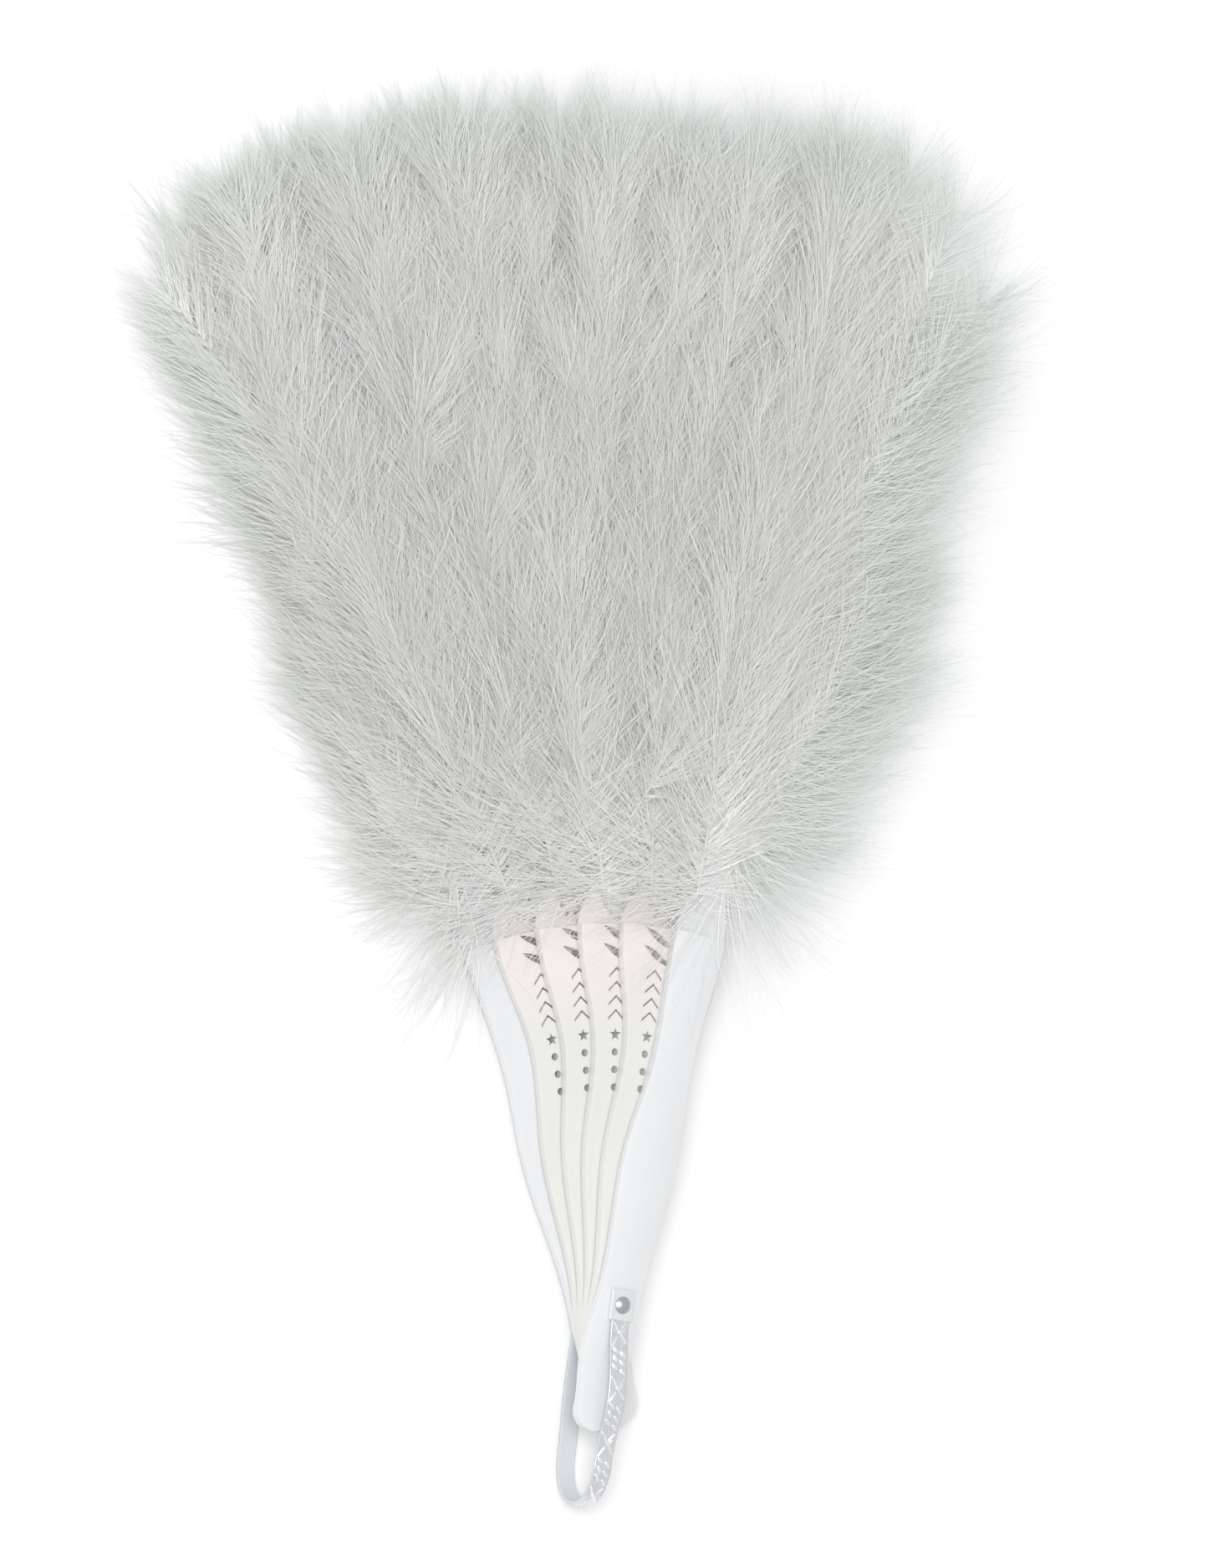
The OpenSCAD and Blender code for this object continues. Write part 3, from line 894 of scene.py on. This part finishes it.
def strap_mesh(loop, columns=32):
    """The strap as a closed band whose outer face carries the ornament."""
    line, gone = strap_line(loop)
    tangent = unit(np.gradient(line, axis=0))
    outward = np.stack([tangent[:, 1], -tangent[:, 0]], 1)
    across = np.linspace(-1, 1, columns)
    share = (gone / loop.repeat) % 1.0
    emboss = ornament(share[:, None], across[None]) * loop.relief
    fade = np.clip((1 - np.abs(across)) / 0.08, 0, 1)
    ends = np.clip(np.minimum(gone, gone[-1] - gone) / (1 * MM), 0, 1)
    emboss = emboss * fade[None] * ends[:, None]
    outer = STRAP_THICK / 2 - loop.relief * 0.6 + emboss
    inner = np.full((len(gone), columns), -STRAP_THICK / 2)
    rows = []
    for offset, order in ((outer, slice(None)), (inner, slice(None, None, -1))):
        y = line[:, 0, None] + outward[:, 0, None] * offset
        z = line[:, 1, None] + outward[:, 1, None] * offset
        x = np.broadcast_to(across * STRAP_WIDTH / 2, y.shape)
        rows.append(np.stack([x, y, z], 2)[:, order])
    ring = np.concatenate(rows, 1)
    points = to_row(ring.reshape(-1, 3), -loop_lean())
    # the first uv value holds the ornament's height, which the band's material turns into painted shade in
    # the hollows
    hollow_shade_uv = np.zeros(ring.shape[:2] + (2,))
    hollow_shade_uv[:, :columns, 0] = emboss / loop.relief
    hollow_shade_uv[..., 1] = share[:, None]
    hollow_shade_uv = np.clip(hollow_shade_uv, 0.01, 0.99).reshape(-1, 2)
    walls = ring_quads(len(ring), 2 * columns)
    caps = band_caps(len(ring), columns)
    is_inner = np.zeros(len(walls) + len(caps), bool)
    is_inner[:len(walls)] = np.arange(len(walls)) % (2 * columns) >= columns
    faces = np.vstack([walls, caps])
    return points, faces, hollow_shade_uv, is_inner


# ---------------------------------------------------------------- linking ribbon

def link_mesh(order):
    """One stretch of ribbon from a stick's blade up to the next one's, and its measures."""
    lower, upper = (stick_place(name) for name in STICKS[order - 1:order + 1])
    lap, steps, columns = 0.012, 30, 12
    turns = np.linspace(lower["turn"] + lap, upper["turn"] - lap, steps)
    reaches = np.linspace(RIBBON_REACH - RIBBON_WIDTH / 2, RIBBON_REACH + RIBBON_WIDTH / 2, columns)
    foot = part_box(f"ribbon_{order}")[0].z + RIBBON_THICK / 2
    stick = np.array([v.co for v in frame["nodes"][STICKS[order]].data.vertices])
    blade = stick[np.hypot(stick[:, 0], stick[:, 1]) > RIBBON_REACH]
    head = blade[:, 2].min() - 0.15 * MM
    share = np.linspace(0, 1, steps)
    rise = foot + (head - foot) * share ** 2 * (3 - 2 * share)
    grid = np.stack([
        -np.sin(turns)[:, None] * reaches,
        np.cos(turns)[:, None] * reaches,
        np.broadcast_to(rise[:, None], (steps, columns))], 2)
    half = np.array([0, 0, RIBBON_THICK / 2])
    ring = np.concatenate([grid + half, (grid - half)[:, ::-1]], 1)
    faces = np.vstack([ring_quads(steps, 2 * columns), band_caps(steps, columns)])
    length = (turns[0] - turns[-1]) * RIBBON_REACH
    return ring.reshape(-1, 3), faces, ring[0].mean(0), ring[-1].mean(0), length


# ---------------------------------------------------------------- operators

def finish_piece(piece, material, body, slot, *nodes):
    """Gives a piece its material and body, and puts it in the place of CAD nodes. The slot argument is not
    used.
    """
    piece.data.materials.append(material)
    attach(piece, body)
    if nodes:
        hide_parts(*nodes)


class FAN_OT_add_down(Operator):
    """Grow the marabou down on every stick"""

    bl_idname = "feather_fan.add_down"
    bl_label = "Marabou down"

    def execute(self, context):
        down = settings().down
        barb, heart, horn = down_material(), heart_material(), quill_material()
        for name in STICKS:
            place = stick_place(name)
            feathers, quills = grow_feathers(place, down)
            front = mesh_object(name + "_down", *feathers[1])
            finish_piece(front, barb, name, "feather", name + "_plume")
            back = mesh_object(name + "_underdown", *feathers[-1])
            finish_piece(back, barb, name, "feather", name + "_plume")
            core = mesh_object(name + "_heart", *down_core(place, down))
            finish_piece(core, heart, name, "feather", name + "_plume")
            shafts = mesh_object(name + "_shafts", *quill_tubes(quills))
            finish_piece(shafts, horn, name, "quill", name + "_quills")
        return {"FINISHED"}


class FAN_OT_add_loop(Operator):
    """Emboss the wrist loop"""

    bl_idname = "feather_fan.add_loop"
    bl_label = "Wrist loop"

    def execute(self, context):
        loop = settings().loop
        points, faces, hollow_shade_uv, is_inner = strap_mesh(loop)
        strap = mesh_object("embossed_strap", points, faces, hollow_shade_uv)
        finish_piece(strap, band_material(), LOOP_BODY, "loop_band", "loop_strap")
        strap.data.materials.append(lining_material())
        strap.data.polygons.foreach_set("material_index", is_inner.astype(np.int32))
        return {"FINISHED"}


class FAN_OT_add_ribbon(Operator):
    """Lay the linking ribbon from stick to stick"""

    bl_idname = "feather_fan.add_ribbon"
    bl_label = "Linking ribbon"

    def execute(self, context):
        woven = ribbon_material()
        for order in range(1, len(STICKS)):
            points, faces, start, end, length = link_mesh(order)
            piece = mesh_object(f"link_{order}", points, faces)
            piece.data.materials.append(woven)
            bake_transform(piece)
            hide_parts(f"ribbon_{order}")
        return {"FINISHED"}


class FAN_OT_finish_sticks(Operator):
    """Give the sticks, guards, rivet and tabs their finishes"""

    bl_idname = "feather_fan.finish_sticks"
    bl_label = "Sticks and rivet"

    def execute(self, context):
        sticks = settings().sticks
        warm = moulded_material("moulded_stick", sticks.stick_color, True)
        cool = moulded_material("moulded_guard", sticks.guard_color, False)
        for name in STICKS:
            set_material(frame["nodes"][name], cool if "guard" in name else warm)
        steel = metal_material("rivet_steel", (0.60, 0.61, 0.63), 0.25, 0.45, 700.0)
        silver = metal_material("tab_silver", settings().loop.silver_color, 0.18, 0.4, 500.0, 0.6)
        for name in ("rivet_pin", "rivet_cap"):
            set_material(frame["nodes"][name], steel)
        for name in ("loop_tab_front", "loop_tab_back"):
            set_material(frame["nodes"][name], silver)
        return {"FINISHED"}


class FAN_OT_add_stage(Operator):
    """Add the floor, the lights and the camera"""

    bl_idname = "feather_fan.add_stage"
    bl_label = "Stage"

    def execute(self, context):
        stage = settings().stage
        scene = context.scene
        reach = 6.0
        corners = [(-reach, -reach, 0), (reach, -reach, 0), (reach, reach, 0), (-reach, reach, 0)]
        floor = mesh_object("floor", corners, [(0, 1, 2, 3)])
        material, shader, _, _ = new_material("pale_floor")
        shader.inputs["Base Color"].default_value = (0.93, 0.93, 0.93, 1)
        shader.inputs["Roughness"].default_value = 0.9
        floor.data.materials.append(material)

        world = bpy.data.worlds.new("even_light")
        scene.world = world
        world.use_nodes = True
        sky = world.node_tree.nodes["Background"]
        sky.inputs["Color"].default_value = (1, 1, 1, 1)
        sky.inputs["Strength"].default_value = stage.sky

        lens = bpy.data.cameras.new("camera")
        lens.sensor_fit = "VERTICAL"
        lens.sensor_height = 24
        lens.lens = lens.sensor_height * stage.distance / stage.view_height
        camera = bpy.data.objects.new("camera", lens)
        turn = Euler((0, -stage.view_tilt, 0)).to_quaternion()
        turn = turn @ Euler((0, 0, stage.view_roll)).to_quaternion()
        middle = Vector((0.0032, 0.1177, 0.010))
        camera.rotation_euler = turn.to_euler()
        camera.location = middle + turn @ Vector((0, 0, stage.distance))
        scene.collection.objects.link(camera)
        scene.camera = camera

        lamp = bpy.data.lights.new("key", "AREA")
        lamp.shape = "DISK"
        lamp.size = 0.8
        lamp.energy = stage.key
        key = bpy.data.objects.new("key", lamp)
        key.location = Vector((-0.95, 0.30, 1.70))
        key.rotation_euler = (middle - key.location).to_track_quat("-Z", "Y").to_euler()
        scene.collection.objects.link(key)
        scene.view_settings.view_transform = "Standard"
        return {"FINISHED"}


class FAN_PT_fan(Panel):
    """Builds the fan's pieces, one button each"""

    bl_idname = "FAN_PT_fan"
    bl_label = "Feather fan"
    bl_space_type = "VIEW_3D"
    bl_region_type = "UI"
    bl_category = "Fan"

    def draw(self, context):
        for operator in OPERATORS:
            self.layout.operator(operator.bl_idname)


OPERATORS = (FAN_OT_finish_sticks, FAN_OT_add_loop, FAN_OT_add_ribbon, FAN_OT_add_down, FAN_OT_add_stage)
CLASSES = (DownSettings, StickSettings, LoopSettings, StageSettings, FanSettings, *OPERATORS, FAN_PT_fan)


def register():
    for item in CLASSES:
        bpy.utils.register_class(item)
    bpy.types.Scene.feather_fan = PointerProperty(type=FanSettings)


def unregister():
    del bpy.types.Scene.feather_fan
    for item in reversed(CLASSES):
        bpy.utils.unregister_class(item)


def main():
    register()
    bpy.ops.feather_fan.finish_sticks()
    bpy.ops.feather_fan.add_loop()
    bpy.ops.feather_fan.add_ribbon()
    bpy.ops.feather_fan.add_down()
    bpy.ops.feather_fan.add_stage()


if __name__ == "__main__":
    main()
